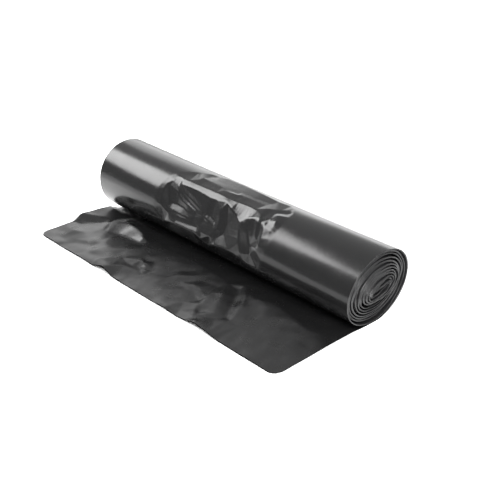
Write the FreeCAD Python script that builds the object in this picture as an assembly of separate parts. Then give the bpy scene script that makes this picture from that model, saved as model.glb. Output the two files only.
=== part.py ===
import FreeCAD, Part
import math
import os

from FreeCAD import Vector

# A coreless roll of flat-folded refuse bags, lying on a floor with its first bag drawn out
# in front of it. Millimetres. X runs along the roll towards its near end, the first bag
# lies towards -Y, Z is up. The origin is on the floor, under the roll's middle.
# The roll, its turns and the loose bag are one web of film, so they are one solid.

# Driving dimensions of the wound roll. An end's section is an oval, flatter at the near end.
ROLL_LENGTH = 350.0
FAR_HALF_WIDTH = 39.2
FAR_HALF_HEIGHT = 38.7
FAR_LEAN_DEG = 0.0
NEAR_HALF_WIDTH = 40.6
NEAR_HALF_HEIGHT = 32.0
NEAR_LEAN_DEG = 16.3
FLOOR_PRESS = 0.6

# The collapsed hollow in the middle, where the first turns were wound.
CORE_HALF_WIDTH = 12.0
CORE_HALF_HEIGHT = 2.4
CORE_LEAN_DEG = 18.0

# The turns: each one that shows is a bundle of plies, with a slack gap to the next.
FIRST_PITCH = 1.4
TURN_PITCH = 2.55
TURN_GAP = 0.7
GAP_SETBACK = 0.2
TURN_COUNT = 9.6
TURN_RELIEF_DEPTH = 6.0
CORE_LAND = 1.7

# The loose bag: its plies lie together as one sheet.
SHEET_THICKNESS = 0.8
LOOSE_LENGTH_FAR = 116.0
LOOSE_LENGTH_NEAR = 121.0
CORNER_ROUND = 8.0
CREVICE_HEIGHT = 1.0
FLAT_REACH = 24.0

# Folds of the loose bag. Each crest is a list of (share of the half length, share of the
# loose length, height), and its reach is how far the fold's sides spread from the crest.
LOOSE_FOLDS = [
    ([(-1.00, 0.65, 10.5), (-0.86, 0.46, 8.5), (-0.66, 0.35, 5.5), (-0.52, 0.34, 2.0)], 22.0),
    ([(-1.00, 0.98, 3.5), (-0.93, 0.97, 0.8)], 10.0),
    ([(-0.66, 0.68, 2.4), (-0.56, 0.80, 3.0), (-0.43, 0.73, 2.4)], 12.0),
    ([(-0.34, 1.00, 6.4), (-0.28, 0.86, 4.0), (-0.22, 0.66, 2.4)], 15.0),
    ([(-0.24, 0.66, 3.0), (-0.04, 0.38, 3.0)], 12.0),
    ([(-0.05, 0.70, 2.6), (0.05, 0.58, 3.0), (0.12, 0.48, 2.0)], 11.0),
    ([(0.12, 0.68, 2.4), (0.24, 0.66, 2.8)], 12.0),
    ([(0.26, 0.47, 5.2), (0.25, 0.72, 4.0), (0.36, 0.95, 2.2)], 13.0),
    ([(0.43, 1.00, 4.2), (0.40, 0.84, 2.4)], 14.0),
    ([(0.36, 0.40, 5.6), (0.43, 0.53, 5.2), (0.50, 0.74, 2.4)], 14.0),
    ([(0.45, 0.42, 5.0), (0.58, 0.40, 5.2), (0.73, 0.48, 4.0), (0.88, 0.66, 1.6)], 18.0),
]

# Puckers of the roll's slack outer turn. Each crest is a list of (share of the half
# length, degrees round the roll from the floor by way of the back, height outwards).
PUCKERS = [
    ([(-0.42, 214.0, 3.0), (-0.44, 245.0, 4.0), (-0.40, 280.0, 2.4)], 10.0),
    ([(-0.34, 206.0, 4.4), (-0.23, 235.0, 4.4), (-0.12, 264.0, 3.6)], 11.0),
    ([(-0.33, 206.0, 3.6), (-0.12, 203.0, 2.8), (0.04, 200.0, 4.4)], 10.0),
    ([(0.04, 200.0, 4.4), (0.12, 224.0, 4.6), (0.18, 258.0, 4.2), (0.20, 278.0, 3.0)], 12.0),
    ([(-0.14, 222.0, 3.4), (-0.04, 246.0, 4.6), (-0.02, 272.0, 4.2)], 11.0),
    ([(0.26, 203.0, 4.0), (0.33, 232.0, 4.2), (0.38, 262.0, 3.0)], 10.0),
    ([(0.28, 192.0, 2.4), (0.37, 204.0, 4.0), (0.46, 216.0, 1.8)], 9.0),
    ([(0.37, 204.0, 3.6), (0.42, 178.0, 1.6)], 8.0),
    ([(-0.45, 181.0, 1.2), (-0.17, 170.0, 2.8), (0.03, 160.0, 2.8), (0.25, 158.0, 1.2)], 10.0),
]
SLACK_CENTRE = (-0.02, 244.0)
SLACK_REACH = (0.48, 52.0)
SLACK_HEIGHT = 1.8

# How finely the film is laid out. It is flat between its creases, so its faces are flat.
EDGE_STATIONS = [1.0, 0.985, 0.955]
INNER_STATIONS = 41
STEPS_ROUND = 44
ROWS_OUT = 14
SPIRAL_STEP_DEG = 14.4
CORE_STEP_DEG = 20.0
FULL_TURN = 360.0

HALF_LENGTH = ROLL_LENGTH / 2


def mix(far, near, share):
    """The value at a share of the half length: -1 is the far end and 1 the near end."""
    return far + (near - far) * (share + 1.0) / 2.0


def wound_in(degrees):
    """How far the web has wound in from its outer face at the floor: tight at first."""
    tight = min(degrees, FULL_TURN)
    slack = max(degrees - FULL_TURN, 0.0)
    return (FIRST_PITCH * tight + TURN_PITCH * slack) / FULL_TURN


CORE_INWARDS = wound_in((TURN_COUNT + 1.0) * FULL_TURN) + CORE_LAND


def oval(share):
    """An end section's half width, half height, lean and centre height."""
    half_width = mix(FAR_HALF_WIDTH, NEAR_HALF_WIDTH, share)
    half_height = mix(FAR_HALF_HEIGHT, NEAR_HALF_HEIGHT, share)
    lean = math.radians(mix(FAR_LEAN_DEG, NEAR_LEAN_DEG, share))
    lowest = math.hypot(half_width * math.sin(lean), half_height * math.cos(lean))
    return half_width, half_height, lean, lowest - FLOOR_PRESS


def round_point(share, degrees, inwards):
    """A point so many degrees round the section and so far in, flatter towards the core."""
    half_width, half_height, lean, centre = oval(share)
    part = inwards / CORE_INWARDS
    half_width += (CORE_HALF_WIDTH - half_width) * part
    half_height += (CORE_HALF_HEIGHT - half_height) * part
    lean += (math.radians(CORE_LEAN_DEG) - lean) * part
    turn = math.radians(degrees)
    y = half_width * math.sin(turn)
    z = -half_height * math.cos(turn)
    return Vector(
        share * HALF_LENGTH,
        y * math.cos(lean) - z * math.sin(lean),
        y * math.sin(lean) + z * math.cos(lean) + centre,
    )


def lowest_degrees(share):
    """How far round the roll its lowest line is: it lies in front where the oval leans."""
    half_width, half_height, lean, _ = oval(share)
    return -math.degrees(math.atan2(half_width * math.sin(lean), half_height * math.cos(lean)))


def crossing(share, height, low, high):
    """The degrees between low, on the floor, and high, a quarter turn off, at a height."""
    for _ in range(50):
        middle = (low + high) / 2
        if round_point(share, middle, wound_in(middle)).z > height:
            high = middle
        else:
            low = middle
    return (low + high) / 2


def back_edge(share):
    """The degrees at which the outer face leaves the floor, behind the flat spot."""
    lowest = lowest_degrees(share)
    return crossing(share, 0.0, lowest, lowest + 90.0)


def crevice_edge(share):
    """The degrees at which the outer face has come round to the loose bag, in front."""
    lowest = lowest_degrees(share) + FULL_TURN
    return crossing(share, SHEET_THICKNESS + CREVICE_HEIGHT, lowest, lowest - 90.0)


def crest_height(u, v, crest, reach, u_scale, v_scale):
    """A fold's height at (u, v): its crest's height, falling evenly to 0 at its reach."""
    best = 0.0
    for (u0, v0, h0), (u1, v1, h1) in zip(crest, crest[1:]):
        run_u = (u1 - u0) * u_scale
        run_v = (v1 - v0) * v_scale
        off_u = (u - u0) * u_scale
        off_v = (v - v0) * v_scale
        part = (off_u * run_u + off_v * run_v) / (run_u * run_u + run_v * run_v)
        part = min(1.0, max(0.0, part))
        away = math.hypot(off_u - part * run_u, off_v - part * run_v)
        best = max(best, (h0 + (h1 - h0) * part) * (1.0 - away / reach))
    return best


def highest_crest(u, v, folds, u_scale, v_scale):
    """The height of the fold that stands highest at (u, v)."""
    return max(crest_height(u, v, crest, reach, u_scale, v_scale) for crest, reach in folds)


def sheet_lift(share, y):
    """How high the loose bag's folds lift it off the floor."""
    length = mix(LOOSE_LENGTH_FAR, LOOSE_LENGTH_NEAR, share)
    lift = highest_crest(share, -y / length, LOOSE_FOLDS, HALF_LENGTH, length)
    clear_of_roll = min(1.0, (-y - FLAT_REACH) / FLAT_REACH)
    return lift * max(0.0, clear_of_roll)


def pucker_lift(share, degrees):
    """How far the slack outer turn stands out of the wound roll."""
    mm_per_degree = math.pi * (FAR_HALF_WIDTH + NEAR_HALF_HEIGHT) / FULL_TURN
    lift = highest_crest(share, degrees, PUCKERS, HALF_LENGTH, mm_per_degree)
    off_share = (share - SLACK_CENTRE[0]) / SLACK_REACH[0]
    off_round = (degrees - SLACK_CENTRE[1]) / SLACK_REACH[1]
    slack = min(1.0, max(0.0, 1.6 * (1.0 - math.hypot(off_share, off_round))))
    return lift + SLACK_HEIGHT * slack


def stations():
    """Where along the roll the film is laid out, with the loose bag's rounded corners."""
    inner = EDGE_STATIONS[-1]
    across = [inner * (2.0 * i / INNER_STATIONS - 1.0) for i in range(1, INNER_STATIONS)]
    return [-s for s in EDGE_STATIONS] + across + EDGE_STATIONS[::-1]


def loose_length(share):
    """How far the loose bag reaches from under the roll's middle."""
    length = mix(LOOSE_LENGTH_FAR, LOOSE_LENGTH_NEAR, share)
    inside = CORNER_ROUND - HALF_LENGTH * (1.0 - abs(share))
    if inside > 0.0:
        length -= CORNER_ROUND - math.sqrt(CORNER_ROUND ** 2 - inside ** 2)
    return length


def skin_row(share):
    """The roll's outer face at a station, from the floor up the back to the crevice in front."""
    start = back_edge(share)
    step = (crevice_edge(share) - start) / STEPS_ROUND
    points = []
    lifts = []
    for i in range(STEPS_ROUND + 1):
        degrees = start + i * step
        lift = pucker_lift(share, degrees)
        points.append(round_point(share, degrees, wound_in(degrees) - lift))
        lifts.append(lift)
    return points, lifts


def sheet_row(share, above):
    """The loose bag's face at a station, from the roll's flat spot to the free edge."""
    length = loose_length(share)
    points = []
    lifts = []
    for i in range(ROWS_OUT + 1):
        y = -FLAT_REACH - (length - FLAT_REACH) * i / ROWS_OUT
        lift = sheet_lift(share, y)
        points.append(Vector(share * HALF_LENGTH, y, lift + above))
        lifts.append(lift)
    return points, lifts


def polygon_face(points):
    """A flat face between corner points."""
    return Part.Face(Part.makePolygon(points + points[:1]))


def facets(rows, lifts):
    """Flat faces between rows of points. A crease runs on between corners of like height."""
    faces = []
    for i in range(len(rows) - 1):
        for j in range(len(rows[i]) - 1):
            a, b, c, d = rows[i][j], rows[i + 1][j], rows[i + 1][j + 1], rows[i][j + 1]
            one_way = abs(lifts[i][j] - lifts[i + 1][j + 1])
            other_way = abs(lifts[i + 1][j] - lifts[i][j + 1])
            if one_way <= other_way:
                faces += [polygon_face([a, b, c]), polygon_face([a, c, d])]
            else:
                faces += [polygon_face([a, b, d]), polygon_face([b, c, d])]
    return faces


def strip(first, second):
    """Flat faces between two lines of points."""
    level = [0.0] * len(first)
    return facets([first, second], [level, level])


def gap_walls(share):
    """The outer and the inner wall of the slack gap between the turns, at one end."""
    first = crevice_edge(share) - FULL_TURN + 6.0
    last = TURN_COUNT * FULL_TURN
    count = int((last - first) / SPIRAL_STEP_DEG)
    walls = []
    for setback, lowest in ((TURN_GAP, SHEET_THICKNESS), (0.0, SHEET_THICKNESS + TURN_GAP)):
        wall = []
        for i in range(count + 1):
            degrees = first + (last - first) * i / count
            inwards = wound_in(degrees + FULL_TURN) - GAP_SETBACK - setback
            point = round_point(share, degrees, inwards)
            wall.append(Vector(point.x, point.y, max(point.z, lowest)))
        walls.append(wall)
    return walls


def core_ring(share):
    """The core hollow's outline at one end."""
    count = int(FULL_TURN / CORE_STEP_DEG)
    return [round_point(share, i * CORE_STEP_DEG, CORE_INWARDS) for i in range(count)]


def roll_end(share, outline):
    """One end of the roll: its flat edge of film, and the gap sunk between the turns."""
    outer, inner = gap_walls(share)
    mouth = outer + inner[::-1]
    sunk = Vector(-share * TURN_RELIEF_DEPTH, 0, 0)
    bottom = [p + sunk for p in mouth]
    edge = Part.makePolygon(outline + outline[:1])
    holes = [Part.makePolygon(ring + ring[:1]) for ring in (mouth, core_ring(share))]
    end_face = Part.Face([edge] + holes, "Part::FaceMakerBullseye")
    return [end_face, polygon_face(bottom)] + strip(mouth + mouth[:1], bottom + bottom[:1])


def film_faces():
    """All faces of the web: skin, loose bag, crevice, flat spot, ends and core."""
    shares = stations()
    skin, puckers = zip(*[skin_row(s) for s in shares])
    top, folds = zip(*[sheet_row(s, SHEET_THICKNESS) for s in shares])
    under = [sheet_row(s, 0.0)[0] for s in shares]
    crevice_top = [row[-1] for row in skin]
    crevice_foot = [Vector(p.x, p.y, SHEET_THICKNESS) for p in crevice_top]
    faces = facets(skin, puckers) + facets(top, folds) + facets(under, folds)
    faces += strip(crevice_top, crevice_foot)
    faces += strip(crevice_foot, [row[0] for row in top])
    faces += strip([row[-1] for row in top], [row[-1] for row in under])
    faces.append(polygon_face([row[0] for row in under] + [row[0] for row in skin][::-1]))
    for end, share in ((0, -1.0), (-1, 1.0)):
        outline = list(skin[end]) + [crevice_foot[end]] + list(top[end]) + list(under[end])[::-1]
        faces += roll_end(share, outline)
    far_ring, near_ring = core_ring(-1.0), core_ring(1.0)
    faces += strip(far_ring + far_ring[:1], near_ring + near_ring[:1])
    return faces


def bag_roll():
    """The whole roll as one solid."""
    shell = Part.makeShell(film_faces())
    shell.sewShape()
    body = Part.makeSolid(shell)
    if body.Volume < 0:
        body.reverse()
    return body


def main():
    os.makedirs("parts", exist_ok=True)
    shape = bag_roll()
    box = shape.BoundBox
    print("solids", len(shape.Solids), "valid", shape.isValid(), "closed", shape.isClosed())
    print("volume", round(shape.Volume), "faces", len(shape.Faces))
    print("box", [round(v, 2) for v in (box.XMin, box.XMax, box.YMin, box.YMax, box.ZMin, box.ZMax)])
    shape.exportStep("parts/bag_roll.step")


main()
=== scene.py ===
# %% [markdown]
# # A roll of black bin bags
#
# The object is one long web of thin black polyethylene film: refuse bags folded flat and
# wound up without a core. It lies on a pale floor, and the first bag is drawn out in front
# of it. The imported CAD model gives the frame: X runs along the roll, the loose bag lies
# towards -Y, and Z is up. This lesson builds the film itself, with its creases.

import math

import bpy
import numpy as np
from mathutils import Matrix, Vector
from mathutils.geometry import delaunay_2d_cdt


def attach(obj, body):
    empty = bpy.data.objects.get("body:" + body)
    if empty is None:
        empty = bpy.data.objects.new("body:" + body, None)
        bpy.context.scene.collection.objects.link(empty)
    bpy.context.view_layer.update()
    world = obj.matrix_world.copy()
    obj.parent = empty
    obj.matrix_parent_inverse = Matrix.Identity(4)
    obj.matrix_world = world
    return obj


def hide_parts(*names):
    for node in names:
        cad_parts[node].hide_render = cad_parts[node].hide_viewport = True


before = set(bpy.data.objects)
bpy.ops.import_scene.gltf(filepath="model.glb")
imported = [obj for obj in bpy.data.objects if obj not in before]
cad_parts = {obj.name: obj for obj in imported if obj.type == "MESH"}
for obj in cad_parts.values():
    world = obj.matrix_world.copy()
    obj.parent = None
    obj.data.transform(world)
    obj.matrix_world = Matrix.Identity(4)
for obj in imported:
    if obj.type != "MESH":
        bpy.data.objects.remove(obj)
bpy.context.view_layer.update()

# %% [markdown]
# ## Camera
#
# The camera was fitted to the roll's outline and the loose bag's corners. It looks down at
# about 26 degrees from the near right. It could come last, but it comes first here, so that
# every later step can be judged through it.

# %% Place the camera
TARGET = Vector((0.0388, -0.0185, 0.0250))
AZIMUTH = math.radians(46.82)
ELEVATION = math.radians(25.87)
DISTANCE = 0.7902
SENSOR_WIDTH = 36.0
LENS = 61.32

away = Vector((
    math.cos(ELEVATION) * math.sin(AZIMUTH),
    -math.cos(ELEVATION) * math.cos(AZIMUTH),
    math.sin(ELEVATION),
))
camera = bpy.data.objects.new("camera", bpy.data.cameras.new("camera"))
camera.location = TARGET + DISTANCE * away
camera.rotation_euler = away.to_track_quat("Z", "Y").to_euler()
camera.data.sensor_width = SENSOR_WIDTH
camera.data.lens = LENS
bpy.context.scene.collection.objects.link(camera)
bpy.context.scene.camera = camera
print("camera at", tuple(round(v, 3) for v in camera.location))

# %% [markdown]
# ## The wound roll as numbers
#
# A real roll is wound round and round from its middle. A screw modifier could do that, but
# this roll is an oval that changes along its length. So before any mesh, it is described the
# way it was wound: so many degrees round from the floor by way of the back, and so far in
# from the outer face. Every piece of film is placed by these two numbers and by its share of
# the half length, from -1 at the far end to 1 at the near end. The far end is nearly round,
# and the near end is flatter and leans. Sizes are in millimetres here, and become metres
# when a mesh is made.

# %% Sizes of the roll
HALF_LENGTH = 175.0
# an oval is half its width, half its height, and its lean in degrees
FAR_OVAL = (39.2, 38.7, 0.0)
NEAR_OVAL = (40.6, 32.0, 16.3)
CORE_OVAL = (12.0, 2.4, 18.0)
FLOOR_PRESS = 0.6
FIRST_PITCH = 1.4
TURN_PITCH = 2.55
TURN_COUNT = 9.6
CORE_MARGIN = 1.7
CORE_INWARDS = FIRST_PITCH + TURN_PITCH * TURN_COUNT + CORE_MARGIN
print("far end", FAR_OVAL, "near end", NEAR_OVAL)
print("core reached after", round(CORE_INWARDS, 1), "mm")


# %% Helpers that place a point of the roll
def mix(far, near, share):
    return far + (near - far) * (share + 1.0) / 2.0


def wound_in(degrees):
    tight = np.minimum(degrees, 360.0)
    slack = np.maximum(degrees - 360.0, 0.0)
    return (FIRST_PITCH * tight + TURN_PITCH * slack) / 360.0


def roll_point(share, degrees, inwards):
    width, height, lean = (mix(f, n, share) for f, n in zip(FAR_OVAL, NEAR_OVAL))
    lean = np.radians(lean)
    centre = np.hypot(width * np.sin(lean), height * np.cos(lean)) - FLOOR_PRESS
    part = inwards / CORE_INWARDS
    width = width + (CORE_OVAL[0] - width) * part
    height = height + (CORE_OVAL[1] - height) * part
    lean = lean + (math.radians(CORE_OVAL[2]) - lean) * part
    turn = np.radians(degrees)
    y = width * np.sin(turn)
    z = -height * np.cos(turn)
    return np.stack([
        np.broadcast_to(share * HALF_LENGTH, y.shape),
        y * np.cos(lean) - z * np.sin(lean),
        y * np.sin(lean) + z * np.cos(lean) + centre,
    ], axis=-1)


TOP = roll_point(0.0, 180.0, 0.0)
print("the middle of the top is at", [round(float(v), 1) for v in TOP], "mm")

# %% [markdown]
# ## A mesh from a grid of points
#
# Film is a sheet, so each piece here is a grid of points, with columns along the roll or
# across the edge of a turn. It could also be a NURBS surface, but a plain mesh takes sharp
# creases. One helper turns a grid into a smooth-shaded mesh and lets it ride on the CAD body.

# %% Helper that makes a piece of film
MM = 0.001


def film_piece(name, points):
    rows, columns = points.shape[:2]
    index = np.arange(rows * columns).reshape(rows, columns)
    corners = [index[:-1, :-1], index[:-1, 1:], index[1:, 1:], index[1:, :-1]]
    quads = np.stack(corners, axis=-1).reshape(-1, 4)
    mesh = bpy.data.meshes.new(name)
    mesh.from_pydata((points.reshape(-1, 3) * MM).tolist(), [], quads.tolist())
    mesh.shade_smooth()
    piece = bpy.data.objects.new(name, mesh)
    bpy.context.scene.collection.objects.link(piece)
    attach(piece, "root")
    print(name, "has", 2 * len(quads), "triangles")
    return piece


# %% [markdown]
# ## Folds and creases
#
# Thin film can't stretch, so when it is pushed together it folds into flat facets that
# meet in sharp creases. A cloth simulation gives such folds too, but not where the real
# film has them. Here the creases are drawn as lines through a few given corners, and
# flat triangles join them, like a paper model. One helper carries either heights or whole
# places in space from the corners to a fine grid.

# %% Helper that puts corners along a crease
def along_lines(lines, gap):
    corners = []
    for line in lines:
        for start, end in zip(line, line[1:]):
            start = np.array(start, dtype=float)
            end = np.array(end, dtype=float)
            count = max(1, int(np.hypot(*(end - start)[:2]) / gap))
            corners += [start + (end - start) * k / count for k in range(count)]
        corners.append(np.array(line[-1], dtype=float))
    return np.array(corners)


# %% Helper for a creased net
SAME_CORNER = 1e-4
HAIR = 1e-6


def creased_net(u, v, corners, values, outside):
    places = [Vector(corner) for corner in corners]
    knots, _, faces, sources, _, _ = delaunay_2d_cdt(places, [], [], 0, SAME_CORNER)
    values = np.array([np.mean([values[i] for i in source], axis=0) for source in sources])
    sheet = np.array(outside, dtype=float)
    for face in faces:
        (ax, ay), (bx, by), (cx, cy) = (knots[i] for i in face)
        area = (bx - ax) * (cy - ay) - (cx - ax) * (by - ay)
        if abs(area) < HAIR:
            continue
        near = (u >= min(ax, bx, cx)) & (u <= max(ax, bx, cx))
        near = near & (v >= min(ay, by, cy)) & (v <= max(ay, by, cy))
        p = u[near]
        q = v[near]
        wb = ((p - ax) * (cy - ay) - (cx - ax) * (q - ay)) / area
        wc = ((bx - ax) * (q - ay) - (p - ax) * (by - ay)) / area
        inside = (wb >= -HAIR) & (wc >= -HAIR) & (wb + wc <= 1.0 + HAIR)
        a, b, c = (values[i] for i in face)
        found = sheet[near]
        found[inside] = a + wb[inside, None] * (b - a) + wc[inside, None] * (c - a)
        sheet[near] = found
    return sheet


# %% Helper that softens sharp creases a little
SOFT_PASSES = 3


def soften(lift, passes):
    for _ in range(passes):
        padded = np.pad(lift, [(1, 1), (1, 1)] + [(0, 0)] * (lift.ndim - 2), mode="edge")
        around = padded[:-2, 1:-1] + padded[2:, 1:-1] + padded[1:-1, :-2] + padded[1:-1, 2:]
        lift = 0.5 * lift + 0.125 * around
    return lift


# %% [markdown]
# ## Creases of the slack outer turn
#
# In the middle of the front, the outer turn has gone slack. Slack film hangs straight from
# ridge to ridge, so the round roll gets a nearly flat front there, and small folds on top
# of that. They could be sculpted, but as lines they can be read and moved one by one. Each
# corner below is (mm along the roll, degrees round, mm outwards from where the film would
# hang straight).

# %% Where the slack film hangs straight
MM_PER_DEGREE = 0.64
SKIN_RADIUS = MM_PER_DEGREE * 180.0 / math.pi
# each ridge is (degrees round, mm outwards from the round skin)
RIDGES = [(150, 1.1), (184, 0.5), (196, 0.8), (207, 0.0), (271, 1.4), (292, 0.0)]


def hung_straight(degrees):
    lift = np.zeros_like(degrees)
    for (start, low), (end, high) in zip(RIDGES, RIDGES[1:]):
        low = SKIN_RADIUS + low
        high = SKIN_RADIUS + high
        before = np.radians(degrees - start)
        after = np.radians(end - degrees)
        on = (degrees >= start) & (degrees <= end)
        low_part = low * np.sin(before[on])
        high_part = high * np.sin(after[on])
        chord = low * high * math.sin(math.radians(end - start)) / (low_part + high_part)
        lift[on] = chord - SKIN_RADIUS
    return lift


print("deepest hang", round(float(hung_straight(np.arange(150.0, 280.0)).min()), 1), "mm")

# %% Outline of the slack film
OUTLINE = [
    (-22, 147, 0), (-40, 163, 0), (-56, 179, 0), (-69, 192, 0), (-76, 204, 0), (-79, 222, 0),
    (-80, 240, 0), (-80, 258, 0), (-78, 276, 0), (-74, 288, 0), (-64, 296, 0), (-40, 299, 0),
    (0, 300, 0), (34, 297, 0), (56, 288, 0), (70, 272, 0), (76, 250, 0), (78, 230, 0),
    (78, 200, 0), (76, 176, 0), (70, 160, 0), (56, 147, 0), (20, 146, 0), (-22, 147, 0),
]
print("the outline has", len(OUTLINE) - 1, "corners")

# %% Creases of the slack film
CREASES = [
    # the crest above the bright band, and the scalloped edge below it
    [(-66, 200, -0.3), (-50, 199, 0.0), (-20, 197, 0.1), (20, 195, 0.1), (42, 192, 0.3), (52, 196, 0.4)],
    [(-54, 208, 0.3), (-30, 206, 0.3), (-10, 207, 0.2), (0, 205, 0.4), (8, 202, 0.6), (14, 205, 0.4),
     (22, 209, 0.2), (34, 214, 0.3), (44, 208, 0.6), (53, 202, 1.0)],
    # diagonal pleats at its left
    [(-68, 209, 0.5), (-56, 213, 0.0)],
    [(-70, 217, 1.9), (-56, 221, 1.2)],
    [(-54, 208, 0.3), (-40, 212, -0.3), (-20, 220, -0.3)],
    [(-52, 214, 0.5), (-36, 220, 0.5), (-20, 227, 0.3), (-8, 231, 0.0)],
    [(-54, 218, 0.1), (-38, 225, -0.4), (-24, 232, -0.4)],
    [(-56, 223, 0.6), (-46, 229, 0.6), (-36, 232, 0.6), (-26, 235, 0.3)],
    # the left border, with its sliver
    [(-72, 217, 2.6), (-73, 229, 4.2), (-72, 240, 4.2), (-70, 253, 3.2)],
    [(-68, 222, 1.6), (-64, 238, 0.4), (-63, 254, 0.6)],
    # two ledges that look up at the light
    [(-60, 240, -0.4), (-52, 238, -0.6), (-42, 238, -0.5), (-36, 243, -0.2)],
    [(-62, 253, 0.6), (-50, 252, 0.6), (-42, 253, 0.7), (-31, 252, 0.4)],
    [(-60, 260, 0.2), (-46, 259, -0.2), (-32, 256, 0.0)],
    [(-46, 266, -0.1), (-30, 262, -0.2), (-17, 259, -0.2)],
    # the lower edge, which dips in two scallops
    [(-75, 286, 0.2), (-62, 277, 0.5), (-46, 271, 0.3), (-30, 270, 0.55), (-15, 268, 0.8),
     (-8, 274, 0.4), (-1, 285, 0.1), (5, 276, 0.4), (13, 271, 0.7), (24, 268, 0.9), (38, 268, 0.9),
     (48, 272, -0.4), (58, 276, -0.2)],
    # the middle
    [(-14, 231, -0.3), (-6, 230, -0.5), (3, 234, -0.3)],
    [(-14, 237, 0.2), (-5, 238, 0.6), (4, 242, 0.5)],
    [(-26, 242, 0.2), (-18, 250, 0.4), (-10, 262, 0.5)],
    [(-10, 243, -0.2), (2, 248, 0.8), (10, 244, 1.2)],
    [(6, 216, 0.9), (9, 228, 1.0), (10, 244, 1.2), (4, 262, 1.0)],
    [(15, 216, -1.0), (17, 230, -1.6), (17, 246, -1.5), (10, 262, -0.2)],
    # the big fold: its rim and its valley
    [(35, 217, 1.9), (38, 230, 3.0), (42, 246, 3.0), (47, 262, 1.7)],
    [(43, 214, 0.5), (46, 227, -0.4), (51, 242, -0.8), (56, 257, -0.4)],
    # the star at its right, and the rise that carries the bright band on beyond it
    [(53, 202, 1.2), (51, 214, 0.2), (54, 227, 0.6)],
    [(55, 203, 1.1), (56, 215, 1.2), (58, 227, 1.6)],
    [(57, 205, 0.2), (59, 218, 0.7), (61, 230, 1.6)],
    [(62, 206, 0.5), (65, 216, 2.4), (66, 226, 3.7), (66, 236, 4.2), (65, 246, 3.4)],
    [(72, 210, 1.5), (73, 222, 3.7), (74, 234, 4.9), (73, 246, 4.2)],
    # the pleat that stands up at the right, and what hangs from it over the top
    [(62, 185, -0.5), (64, 202, 0.0)],
    [(67, 187, 1.0), (71, 196, 0.7), (72, 205, 0.3)],
    [(50, 185, 0.4), (60, 175, 0.6), (68, 164, 0.3)],
    [(56, 188, -0.4), (65, 178, -0.4), (72, 170, -0.4)],
    # long wrinkles over the top
    [(-42, 190, -0.1), (-39, 177, 0.2), (-35, 164, 0.3)],
    [(-30, 183, -0.1), (0, 182, -0.2), (20, 183, -0.1)],
    [(-28, 173, 0.3), (0, 175, 0.3), (26, 173, 0.3), (46, 167, 0.2)],
    [(-6, 188, 0.1), (20, 180, 0.2), (44, 177, 0.2)],
    [(-40, 166, 0.5), (-24, 157, 0.9), (0, 155, 0.8), (26, 156, 0.9), (48, 157, 0.6)],
]
print("the crumple has", len(CREASES), "creases")

# %% Helper that hangs the slack film over its creases
CREASE_GAP = 3.0


def slack_film(x, degrees, smooth):
    rim = along_lines([OUTLINE], CREASE_GAP)
    creases = along_lines(CREASES, CREASE_GAP)
    creases[:, 2] += hung_straight(creases[:, 1])
    corners = np.concatenate([rim, creases])
    inwards = wound_in(corners[:, 1]) - corners[:, 2]
    places = roll_point(corners[:, 0] / HALF_LENGTH, corners[:, 1], inwards)
    flat_corners = corners[:, :2] * (1.0, MM_PER_DEGREE)
    creased = creased_net(x, degrees * MM_PER_DEGREE, flat_corners, places, smooth)
    return smooth + soften(creased - smooth, SOFT_PASSES)


# %% [markdown]
# ## Folds of the loose bag
#
# The loose bag lies on the floor, but it was wound up tight and doesn't lie flat. An edge
# stands up at the far corner, and a long ridge runs in from it, with its outer flank in the
# light. Small folds cross the middle, and a flat bulge fills the right. A displacement by
# noise would only look like noise, so these are lines too, through (mm along the roll, mm
# out from it, mm high).

# %% Rim of the loose bag, which lies just outside its edges
LOOSE_RIM = [
    (-184, 10, 0), (184, 10, 0), (184, 60, 0.4), (184, 126, 0), (-184, 126, 0.6),
    (-184, 84, 1.4), (-184, 72, 8.6), (-184, 40, 6.4), (-184, 20, 4.6), (-184, 10, 0),
]
print("the rim has", len(LOOSE_RIM) - 1, "corners")

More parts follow.
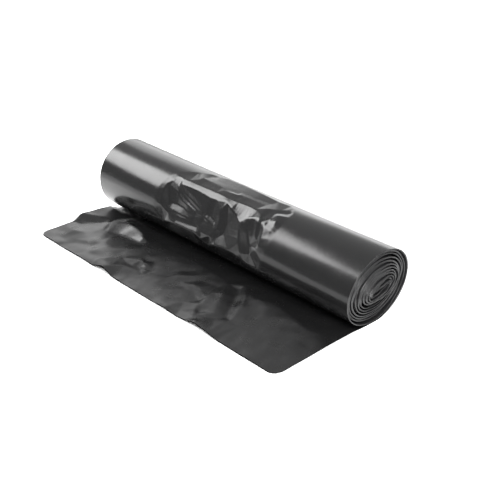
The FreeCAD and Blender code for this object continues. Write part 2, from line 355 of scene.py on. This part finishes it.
# %% Creases of the loose bag
LOOSE_CREASES = [
    # the crest where the film comes out of the roll's shade, and the foot before it
    [(-120, 20, 0.6), (0, 24, 0.4), (120, 28, 0.4), (172, 24, 1.4)],
    [(-76, 50, 2.0), (-50, 48, 2.6), (-20, 44, 3.2), (10, 47, 3.2), (36, 48, 3.0)],
    # the far corner: an edge that stands up, and the long ridge that ends in a tip
    [(-176, 22, 5.4), (-160, 22, 3.0), (-140, 24, 1.4)],
    [(-176, 40, 6.6), (-162, 36, 4.4), (-146, 33, 2.2)],
    [(-176, 55, 7.4), (-176, 67, 8.4), (-166, 58, 6.4), (-156, 49, 4.2), (-146, 42, 2.4)],
    [(-176, 77, 1.5), (-164, 67, 1.6), (-152, 55, 1.5), (-144, 48, 1.8)],
    [(-144, 48, 2.0), (-133, 45, 5.2), (-120, 43, 7.8), (-104, 44, 7.8), (-92, 46, 6.6), (-84, 50, 4.8)],
    # the foot of the ridge's lit flank, and the film below it
    [(-79, 49, 1.8), (-80, 58, 1.4), (-95, 70, 1.2), (-114, 77, 0.9)],
    [(-85, 55, 1.6), (-98, 57, 1.0), (-112, 58, 0.7), (-124, 60, 0.7), (-136, 68, 1.6),
     (-142, 84, 2.6), (-152, 88, 3.0), (-164, 88, 2.6), (-176, 86, 1.4)],
    [(-127, 88, 1.8), (-112, 90, 0.8)],
    [(-170, 98, 1.0), (-152, 97, 2.0), (-138, 98, 1.4)],
    [(-160, 108, 1.0), (-148, 103, 1.4), (-134, 108, 0.5)],
    [(-122, 92, 1.8), (-108, 98, 1.2), (-100, 112, 1.8)],
    [(-112, 80, 1.0), (-98, 83, 1.6), (-80, 80, 1.4)],
    [(-74, 60, 1.8), (-78, 74, 2.2), (-70, 88, 1.0)],
    [(-70, 68, 1.6), (-58, 72, 1.7), (-50, 76, 2.0)],
    # the wave in the free edge
    [(-76, 118, 0.8), (-60, 117, 6.0), (-44, 118, 1.2)],
    [(-60, 117, 6.0), (-55, 102, 3.2), (-48, 92, 1.4)],
    [(-84, 104, 0.8), (-82, 116, 1.0)],
    # small folds across the middle
    [(-49, 79, 2.6), (-40, 82, 3.3), (-30, 88, 2.4)],
    [(-46, 86, 0.5), (-38, 88, 0.4), (-28, 94, 0.4)],
    [(-43, 76, 1.8), (-24, 59, 2.7), (-6, 47, 3.3)],
    [(-28, 84, 0.8), (-12, 70, 1.0), (3, 56, 1.9)],
    [(-4, 76, 1.3), (6, 68, 2.3), (14, 60, 2.9)],
    [(2, 80, 0.5), (12, 73, 1.0), (18, 66, 1.9)],
    [(14, 77, 1.4), (24, 75, 2.4), (36, 77, 2.6), (44, 81, 2.0)],
    [(14, 82, 0.5), (28, 81, 0.7), (38, 84, 0.3), (46, 87, 0.6)],
    [(-20, 100, 0.8), (10, 98, 0.7), (40, 101, 0.9)],
    [(-30, 116, 0.5), (16, 114, 1.0), (36, 116, 1.8), (50, 112, 0.6)],
    # the big diagonal fold and the light strip beside it
    [(46, 52, 3.4), (56, 68, 3.9), (70, 87, 2.6), (80, 99, 1.0)],
    [(57, 50, 1.8), (70, 66, 0.5), (84, 89, 0.1)],
    [(60, 44, 4.4), (74, 58, 3.9), (88, 82, 2.4), (92, 92, 1.2)],
    [(41, 60, 1.8), (42, 74, 1.4)],
    [(48, 60, 3.0), (48, 80, 2.2), (56, 98, 1.8), (66, 112, 2.6)],
    [(60, 100, 0.6), (72, 110, 2.6)],
    # the flat bulge at the right, and the lifted free edge before it
    [(80, 53, 3.8), (100, 48, 4.6), (125, 52, 4.4), (150, 58, 3.4), (170, 50, 1.8)],
    [(96, 62, 3.2), (126, 68, 3.0), (150, 74, 1.9)],
    [(104, 90, 1.2), (132, 92, 1.3), (156, 96, 0.8)],
    [(64, 118, 1.6), (76, 118, 4.8), (88, 119, 3.8), (106, 119, 0.8)],
    [(130, 116, 0.6), (160, 117, 0.5), (172, 108, 0.3)],
]
print("the loose bag has", len(LOOSE_CREASES), "creases")

# %% Helper for slow waviness, which depends on the place alone
WAVES = 14


def waviness(u, v, length, height, seed):
    rng = np.random.default_rng(seed)
    total = np.zeros_like(u + v)
    for _ in range(WAVES):
        heading = rng.uniform(0.0, math.tau)
        wave = length * rng.uniform(0.7, 1.6)
        shift = rng.uniform(0.0, math.tau)
        way = u * math.cos(heading) + v * math.sin(heading)
        total = total + np.sin(math.tau * way / wave + shift)
    return total * height / math.sqrt(WAVES / 2)


# %% Helper for the height of the loose bag
LOOSE_GAP = 6.0
RIPPLE = 0.08
CREVICE = 14.0


def loose_lift(x, out):
    corners = along_lines([LOOSE_RIM] + LOOSE_CREASES, LOOSE_GAP)
    flat = np.zeros(x.shape + (1,))
    net = creased_net(x, out, corners[:, :2], corners[:, 2:], flat)[..., 0]
    lift = net + RIPPLE * waviness(x, out, length=16.0, height=1.0, seed=23)
    clear_of_roll = np.clip((out - CREVICE) / CREVICE, 0.0, 1.0)
    return np.maximum(soften(lift, SOFT_PASSES), 0.0) * clear_of_roll


# %% Length of the loose bag, with its round corners
LOOSE_FAR = 116.0
LOOSE_NEAR = 121.0
CORNER = 9.0


def loose_length(share):
    length = mix(LOOSE_FAR, LOOSE_NEAR, share)
    inside = np.clip(CORNER - HALF_LENGTH * (1.0 - np.abs(share)), 0.0, CORNER)
    return length - (CORNER - np.sqrt(CORNER ** 2 - inside ** 2))


print("the loose bag is", LOOSE_FAR, "to", LOOSE_NEAR, "mm long")

# %% [markdown]
# ## The film of the outer turn
#
# The outermost ply is one sheet: it starts at the free edge, lies on the floor under the
# loose bag, passes under the roll, climbs the back, goes over the top and comes down the
# front. Two meshes would be simpler, but one sheet has no seam, as on the real roll. Its
# grid is finest where the film is crumpled.

# %% Helper for uneven steps, each stretch as (start, end, gap)
def spaced(*stretches):
    parts = []
    for start, end, gap in stretches:
        count = max(2, int(round(abs(end - start) / gap)) + 1)
        parts.append(np.linspace(start, end, count)[:-1])
    return np.concatenate(parts + [np.array([stretches[-1][1]])])


# %% Columns along the outer ply, and rows round it
COLUMNS = spaced((-175, -88, 2.0), (-88, 92, 0.75), (92, 175, 2.0))
TURNED = spaced((0, 130, 3.0), (130, 145, 2.2), (145, 302, 1.1), (302, 345, 2.5))

shares = COLUMNS / HALF_LENGTH
half_width = mix(FAR_OVAL[0], NEAR_OVAL[0], shares)
half_height = mix(FAR_OVAL[1], NEAR_OVAL[1], shares)
leaning = np.radians(mix(FAR_OVAL[2], NEAR_OVAL[2], shares))
lowest = -np.degrees(np.arctan2(half_width * np.sin(leaning), half_height * np.cos(leaning)))
degrees = TURNED[:, None] + lowest[None, :] * (1.0 - TURNED[:, None] / 360.0)
along = np.broadcast_to(COLUMNS[None, :], degrees.shape)
print("the skin has", degrees.shape[0], "rows and", degrees.shape[1], "columns")

# %% The part round the roll
UNEVEN = 0.03
OFF_THE_FLOOR = 0.05

hills = waviness(along * 0.35, degrees * MM_PER_DEGREE, length=26.0, height=1.0, seed=8)
smooth_skin = roll_point(along / HALF_LENGTH, degrees, wound_in(degrees) - UNEVEN * hills)
round_roll = slack_film(along, degrees, smooth_skin)
round_roll[..., 2] = np.maximum(round_roll[..., 2], OFF_THE_FLOOR)
print("the skin is up to", round(float(round_roll[..., 2].max()), 1), "mm high")

# %% The part under the loose bag, and the whole sheet
ROWS_UNDER = 60

rows_in = np.linspace(0.0, 1.0, ROWS_UNDER)[:-1, None]
contact = -round_roll[0, :, 1]
reach = loose_length(shares)
loose_out = reach[None, :] + (contact - reach)[None, :] * rows_in
loose_along = np.broadcast_to(COLUMNS[None, :], loose_out.shape)
loose_height = loose_lift(loose_along, loose_out) + OFF_THE_FLOOR
under = np.stack([loose_along, -loose_out, loose_height], axis=-1)
outer_turn = film_piece("outer_turn", np.concatenate([under, round_roll]))

# %% [markdown]
# ## The plies of the loose bag
#
# A bag is folded, so several plies lie on each other. A solidify modifier would make them
# one thick board, so the upper ply is a sheet of its own. It is what shows, and it runs back
# into the crevice under the roll.

# %% Upper ply of the loose bag
PLY_GAP = 0.70
RELIEF = 0.08
EDGE_SHORT = 0.4
TUCKED_TO = 4.0
ROWS_LOOSE = 92

loose_columns = spaced((-175, 175, 1.25))
reach = loose_length(loose_columns / HALF_LENGTH) - EDGE_SHORT
rows_in = np.linspace(0.0, 1.0, ROWS_LOOSE)[:, None]
top_out = reach[None, :] + (TUCKED_TO - reach)[None, :] * rows_in
top_along = np.broadcast_to(loose_columns[None, :], top_out.shape)
above = PLY_GAP + RELIEF * waviness(top_along, top_out, length=24.0, height=1.0, seed=31)
upper = np.stack([top_along, -top_out, loose_lift(top_along, top_out) + above], axis=-1)
loose_bag = film_piece("loose_bag", upper)

# %% [markdown]
# ## The turns at the roll's ends
#
# An end of the roll shows the edges of all the turns, wound round a collapsed middle. Each
# turn is a bundle of three folded plies, so its edge has three fine lips. A spiral texture
# would stay flat, so the edge is swept along the winding instead. The turns just under the
# skin sit back a few millimetres, and the inner ones have crept outwards. High up on the
# front they press together and their edges slant. Lower down, gaps open between them.

# %% Helper for a smooth step
def step(value, low, high):
    t = np.clip((value - low) / (high - low), 0.0, 1.0)
    return t * t * (3.0 - 2.0 * t)


# %% How far the edges sit back, from the skin (0) to the core (1), in mm
DEEP = [0.0, 0.053, 0.075, 0.16, 0.3, 0.5, 0.75, 1.0]
SET_BACK = [0.0, 0.0, 2.9, 2.4, 1.2, -0.8, -2.8, -3.6]


def edge_line(around, deep, seed):
    zero = around * 0.0
    edge = np.interp(deep, DEEP, SET_BACK)
    short = waviness(around, zero, length=26.0, height=0.28, seed=seed + 3)
    edge = edge + short * step(deep, 0.0, 0.12)
    long = waviness(around, zero, length=110.0, height=0.6, seed=seed + 4)
    return edge + long * step(deep, 0.1, 0.4)


print("the edges sit back", min(SET_BACK), "to", max(SET_BACK), "mm")

# %% The shape across one turn: outer wall, edge with three lips, inner wall
ACROSS = np.linspace(0.0, 1.0, 19)
OUTER_WALL = np.array([16.0, 8.0, 3.0, 1.0])
INNER_WALL = np.array([1.0, 3.0, 8.0])
PLACE = np.concatenate([np.zeros(4), ACROSS, np.ones(3)])
PLIES = 3.0
LIP = 0.20
LIP_ROUND = 0.7


def turn_depth(slant):
    lips = LIP * (1.0 - np.abs(np.sin(PLIES * math.pi * ACROSS)) ** LIP_ROUND)
    face = slant[:, None] * (1.0 - ACROSS[None, :]) + lips[None, :]
    outer = face[:, :1] + OUTER_WALL[None, :]
    inner = face[:, -1:] + INNER_WALL[None, :]
    return np.concatenate([outer, face, inner], axis=1)


print("a turn has", len(PLACE), "points across")

# %% Sizes of the turns, in mm and degrees
FIRST_ANGLE = 4.0
ANGLE_STEP = 3.0
SPARE_TURNS = 2.0
SKIN_THICK = 0.95
TURN_THICK = 1.10
PRESSED_THICK = 1.05
PRESSED_AT = 205.0
PRESSED_SPREAD = 48.0
SKIN_INSET = 0.04
TURN_INSET = 0.15
LEAST_SLANT = 0.10
PRESSED_SLANT = 1.70
SKIN_TUCK = 0.45
CORE_WALL = 1.35
CLEAR_OF_FLOOR = 0.5


# %% Helper for the turns at one end
def end_turns(name, side, seed):
    angles = np.arange(FIRST_ANGLE, (TURN_COUNT + SPARE_TURNS) * 360.0, ANGLE_STEP)
    around = angles * 0.5
    zero = angles * 0.0
    skin = step(angles, 400.0, 340.0)
    off_front = (angles - (PRESSED_AT - 180.0)) % 360.0 - 180.0
    pressed = np.exp(-(off_front / PRESSED_SPREAD) ** 2)
    uneven = waviness(around, zero, length=80.0, height=0.16, seed=seed + 1)
    thick = TURN_THICK + PRESSED_THICK * pressed + uneven
    thick = thick * (1.0 - skin) + SKIN_THICK * skin
    strayed = waviness(around, zero, length=130.0, height=0.30, seed=seed + 2)
    inwards = wound_in(angles) + SKIN_INSET * skin + (TURN_INSET + strayed) * (1.0 - skin)
    edge = edge_line(around, inwards / CORE_INWARDS, seed)
    slant = (LEAST_SLANT + PRESSED_SLANT * pressed) * (1.0 - skin)
    depth = turn_depth(slant)
    tucked = SKIN_TUCK * step(depth, 0.3, 1.2) * skin[:, None] * (1.0 - PLACE[None, :])
    share = side * (1.0 - (edge[:, None] + depth) / HALF_LENGTH)
    inwards = np.minimum(inwards, CORE_INWARDS)[:, None]
    inwards = inwards + thick[:, None] * PLACE[None, :] + tucked
    inwards = np.minimum(inwards, CORE_INWARDS + CORE_WALL)
    points = roll_point(share, np.broadcast_to(angles[:, None], share.shape), inwards)
    points[..., 2] = np.maximum(points[..., 2], CLEAR_OF_FLOOR)
    return film_piece(name, points if side < 0 else points[:, ::-1])


# %% Turns at both ends
near_end_turns = end_turns("near_end_turns", side=1.0, seed=41)
far_end_turns = end_turns("far_end_turns", side=-1.0, seed=61)

# %% [markdown]
# ## Film material
#
# Black polyethylene film is dyed through, so almost all the light that comes from it is
# reflected at the surface. It is a dark dielectric, neither matt nor mirror-like, and its
# surface is finely wrinkled everywhere. The wrinkles are too small to model, so noise bends
# the normals. All three materials need them, so they are built once, as a node group.

# %% Group for the film's fine wrinkles
BUMP_DISTANCE = 0.0004
NOISE_DETAIL = 4.0
PATCH_SCALE = 60.0
PATCH_ROUGHNESS = 0.12


def add_socket(group, name, in_out, kind):
    return group.interface.new_socket(name, in_out=in_out, socket_type=kind)


wrinkles = bpy.data.node_groups.new("fine_wrinkles", "ShaderNodeTree")
add_socket(wrinkles, "Wrinkle size", "INPUT", "NodeSocketFloat").default_value = 300.0
add_socket(wrinkles, "Height", "INPUT", "NodeSocketFloat").default_value = 0.2
add_socket(wrinkles, "Roughness", "INPUT", "NodeSocketFloat").default_value = 0.25
add_socket(wrinkles, "Roughness", "OUTPUT", "NodeSocketFloat")
add_socket(wrinkles, "Normal", "OUTPUT", "NodeSocketVector")
nodes = wrinkles.nodes
links = wrinkles.links
given = nodes.new("NodeGroupInput")
result = nodes.new("NodeGroupOutput")
place = nodes.new("ShaderNodeTexCoord")
noise = nodes.new("ShaderNodeTexNoise")
noise.inputs["Detail"].default_value = NOISE_DETAIL
links.new(place.outputs["Object"], noise.inputs["Vector"])
links.new(given.outputs["Wrinkle size"], noise.inputs["Scale"])
bump = nodes.new("ShaderNodeBump")
bump.inputs["Distance"].default_value = BUMP_DISTANCE
links.new(given.outputs["Height"], bump.inputs["Strength"])
links.new(noise.outputs["Fac"], bump.inputs["Height"])
links.new(bump.outputs["Normal"], result.inputs["Normal"])
patches = nodes.new("ShaderNodeTexNoise")
patches.inputs["Scale"].default_value = PATCH_SCALE
links.new(place.outputs["Object"], patches.inputs["Vector"])
spread = nodes.new("ShaderNodeMath")
spread.operation = "MULTIPLY_ADD"
spread.inputs[1].default_value = PATCH_ROUGHNESS
links.new(patches.outputs["Fac"], spread.inputs[0])
links.new(given.outputs["Roughness"], spread.inputs[2])
links.new(spread.outputs[0], result.inputs["Roughness"])
print("the wrinkle group has", len(nodes), "nodes")

# %% Helper for a material of film
FILM_IOR = 1.5


def film_material(name, colour, roughness, wrinkle_size, height):
    material = bpy.data.materials.new(name)
    material.use_nodes = True
    tree = material.node_tree
    shader = tree.nodes["Principled BSDF"]
    shader.inputs["Base Color"].default_value = (*colour, 1.0)
    shader.inputs["IOR"].default_value = FILM_IOR
    group = tree.nodes.new("ShaderNodeGroup")
    group.node_tree = wrinkles
    group.inputs["Wrinkle size"].default_value = wrinkle_size
    group.inputs["Height"].default_value = height
    group.inputs["Roughness"].default_value = roughness
    tree.links.new(group.outputs["Roughness"], shader.inputs["Roughness"])
    tree.links.new(group.outputs["Normal"], shader.inputs["Normal"])
    print("material", name, "made")
    return material


# %% Materials of the skin, the loose bag and the wound edges
SKIN_BLACK = (0.008, 0.008, 0.0082)
LOOSE_BLACK = (0.0075, 0.0075, 0.0077)
# the edges' black is twice as light as the skin's: a painted sheen that stands in for glints on the lips
EDGE_BLACK_WITH_PAINTED_SHEEN = (0.016, 0.016, 0.0165)

film = film_material("black_film", SKIN_BLACK, 0.14, wrinkle_size=260.0, height=0.10)
loose_film = film_material("loose_black_film", LOOSE_BLACK, 0.23, wrinkle_size=220.0, height=0.08)
edge_film = film_material("wound_film_edges", EDGE_BLACK_WITH_PAINTED_SHEEN, 0.24, wrinkle_size=400.0, height=0.3)
outer_turn.data.materials.append(film)
loose_bag.data.materials.append(loose_film)
near_end_turns.data.materials.append(edge_film)
far_end_turns.data.materials.append(edge_film)

# %% [markdown]
# ## Floor and light
#
# Such objects are photographed on a white sweep that is lit until it is pure white. Beyond
# the roll's ends the floor itself emits light, a painted glow that stands in for lamps
# lighting it there, and the film mirrors that. One softbox hangs high up at the far left, and
# makes the bright band along the roll. A second, dimmer and tilted one stands low behind, and
# lights the back of the roll and the folds. A third one lights the turns at the near end. The
# room is dim. An image of a studio could light it all, but three lamps can be placed one by
# one, by where the film mirrors them.

# %% Floor
FLOOR_HALF = 8
FLOOR_WHITE = (0.9, 0.9, 0.9, 1.0)
FLOOR_ROUGHNESS = 0.9

floor_corners = [
    (-FLOOR_HALF, -FLOOR_HALF, 0), (FLOOR_HALF, -FLOOR_HALF, 0),
    (FLOOR_HALF, FLOOR_HALF, 0), (-FLOOR_HALF, FLOOR_HALF, 0),
]
floor_mesh = bpy.data.meshes.new("floor")
floor_mesh.from_pydata(floor_corners, [], [(0, 1, 2, 3)])
floor = bpy.data.objects.new("floor", floor_mesh)
bpy.context.scene.collection.objects.link(floor)
paint = bpy.data.materials.new("white_sweep")
paint.use_nodes = True
tree = paint.node_tree
shader = tree.nodes["Principled BSDF"]
shader.inputs["Base Color"].default_value = FLOOR_WHITE
shader.inputs["Roughness"].default_value = FLOOR_ROUGHNESS
floor_mesh.materials.append(paint)
print("the floor is", 2 * FLOOR_HALF, "m wide")

# %% Painted glow: the floor itself emits light beyond both ends of the roll
PAINTED_GLOW_COLOUR = (1.0, 1.0, 1.0, 1.0)
GLOW_CENTRE = (0.35, 0.0, 0.0)
GLOW_FULL_WITHIN = 0.10
GLOW_ENDS_AT = 0.24
PAINTED_GLOW_STRENGTH = 2.0

shader.inputs["Emission Color"].default_value = PAINTED_GLOW_COLOUR
place = tree.nodes.new("ShaderNodeTexCoord")
beside = tree.nodes.new("ShaderNodeVectorMath")
beside.operation = "ABSOLUTE"
tree.links.new(place.outputs["Object"], beside.inputs[0])
aside = tree.nodes.new("ShaderNodeVectorMath")
aside.operation = "DISTANCE"
aside.inputs[1].default_value = GLOW_CENTRE
tree.links.new(beside.outputs["Vector"], aside.inputs[0])
painted_glow = tree.nodes.new("ShaderNodeMapRange")
painted_glow.interpolation_type = "SMOOTHSTEP"
painted_glow.inputs["From Min"].default_value = GLOW_FULL_WITHIN
painted_glow.inputs["From Max"].default_value = GLOW_ENDS_AT
painted_glow.inputs["To Min"].default_value = PAINTED_GLOW_STRENGTH
painted_glow.inputs["To Max"].default_value = 0.0
tree.links.new(aside.outputs["Value"], painted_glow.inputs["Value"])
# painted light: this emission makes the floor glow there as if it were a lamp
tree.links.new(painted_glow.outputs["Result"], shader.inputs["Emission Strength"])
print("the floor glows", GLOW_CENTRE[0], "m to either side of the middle")


# %% Helper for a softbox, by the direction it stands in
LAMP_DISTANCE = 3.0


def direction(azimuth, elevation):
    a = math.radians(azimuth)
    e = math.radians(elevation)
    return Vector((math.cos(e) * math.cos(a), math.cos(e) * math.sin(a), math.sin(e)))


def softbox(name, azimuth, elevation, width, height, radiance, tilt=0.0):
    z = direction(azimuth, elevation)
    level = Vector((0, 0, 1)).cross(z).normalized()
    x = Matrix.Rotation(math.radians(tilt), 3, z) @ level
    facing = Matrix((x, z.cross(x), z)).transposed().to_4x4()
    light = bpy.data.objects.new(name, bpy.data.lights.new(name, "AREA"))
    light.data.shape = "RECTANGLE"
    light.data.size = width
    light.data.size_y = height
    light.data.energy = radiance * math.pi * width * height
    light.matrix_world = Matrix.Translation(LAMP_DISTANCE * z) @ facing
    bpy.context.scene.collection.objects.link(light)
    print(name, "gives", round(light.data.energy, 1), "W")


# %% Softboxes
softbox("high_softbox", azimuth=-158.5, elevation=41.0, width=1.45, height=1.55, radiance=8.6)
softbox("low_softbox", azimuth=137.0, elevation=15.5, width=2.55, height=0.95, radiance=1.75, tilt=35.0)
softbox("end_softbox", azimuth=-48.0, elevation=46.0, width=1.8, height=1.5, radiance=13.0)

# %% Room, which is dimmer in front of the roll than behind it
FRONT_EDGE = -0.75
BACK_EDGE = 0.1
FRONT_LIGHT = 0.36
BACK_LIGHT = 0.66

world = bpy.data.worlds.new("room")
bpy.context.scene.world = world
world.use_nodes = True
tree = world.node_tree
look = tree.nodes.new("ShaderNodeTexCoord")
split = tree.nodes.new("ShaderNodeSeparateXYZ")
tree.links.new(look.outputs["Generated"], split.inputs[0])
back = tree.nodes.new("ShaderNodeMapRange")
back.interpolation_type = "SMOOTHSTEP"
back.inputs["From Min"].default_value = FRONT_EDGE
back.inputs["From Max"].default_value = BACK_EDGE
back.inputs["To Min"].default_value = FRONT_LIGHT
back.inputs["To Max"].default_value = BACK_LIGHT
tree.links.new(split.outputs["Y"], back.inputs["Value"])
tree.nodes["Background"].inputs["Color"].default_value = (1.0, 1.0, 1.0, 1.0)
tree.links.new(back.outputs["Result"], tree.nodes["Background"].inputs["Strength"])
bpy.context.scene.view_settings.view_transform = "Standard"
print("the room is", FRONT_LIGHT, "in front and", BACK_LIGHT, "behind")

# %% [markdown]
# ## The CAD solid hidden
#
# The film pieces stand for the CAD solid, so it is hidden.

for piece in (outer_turn, loose_bag, near_end_turns, far_end_turns):
    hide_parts("bag_roll")
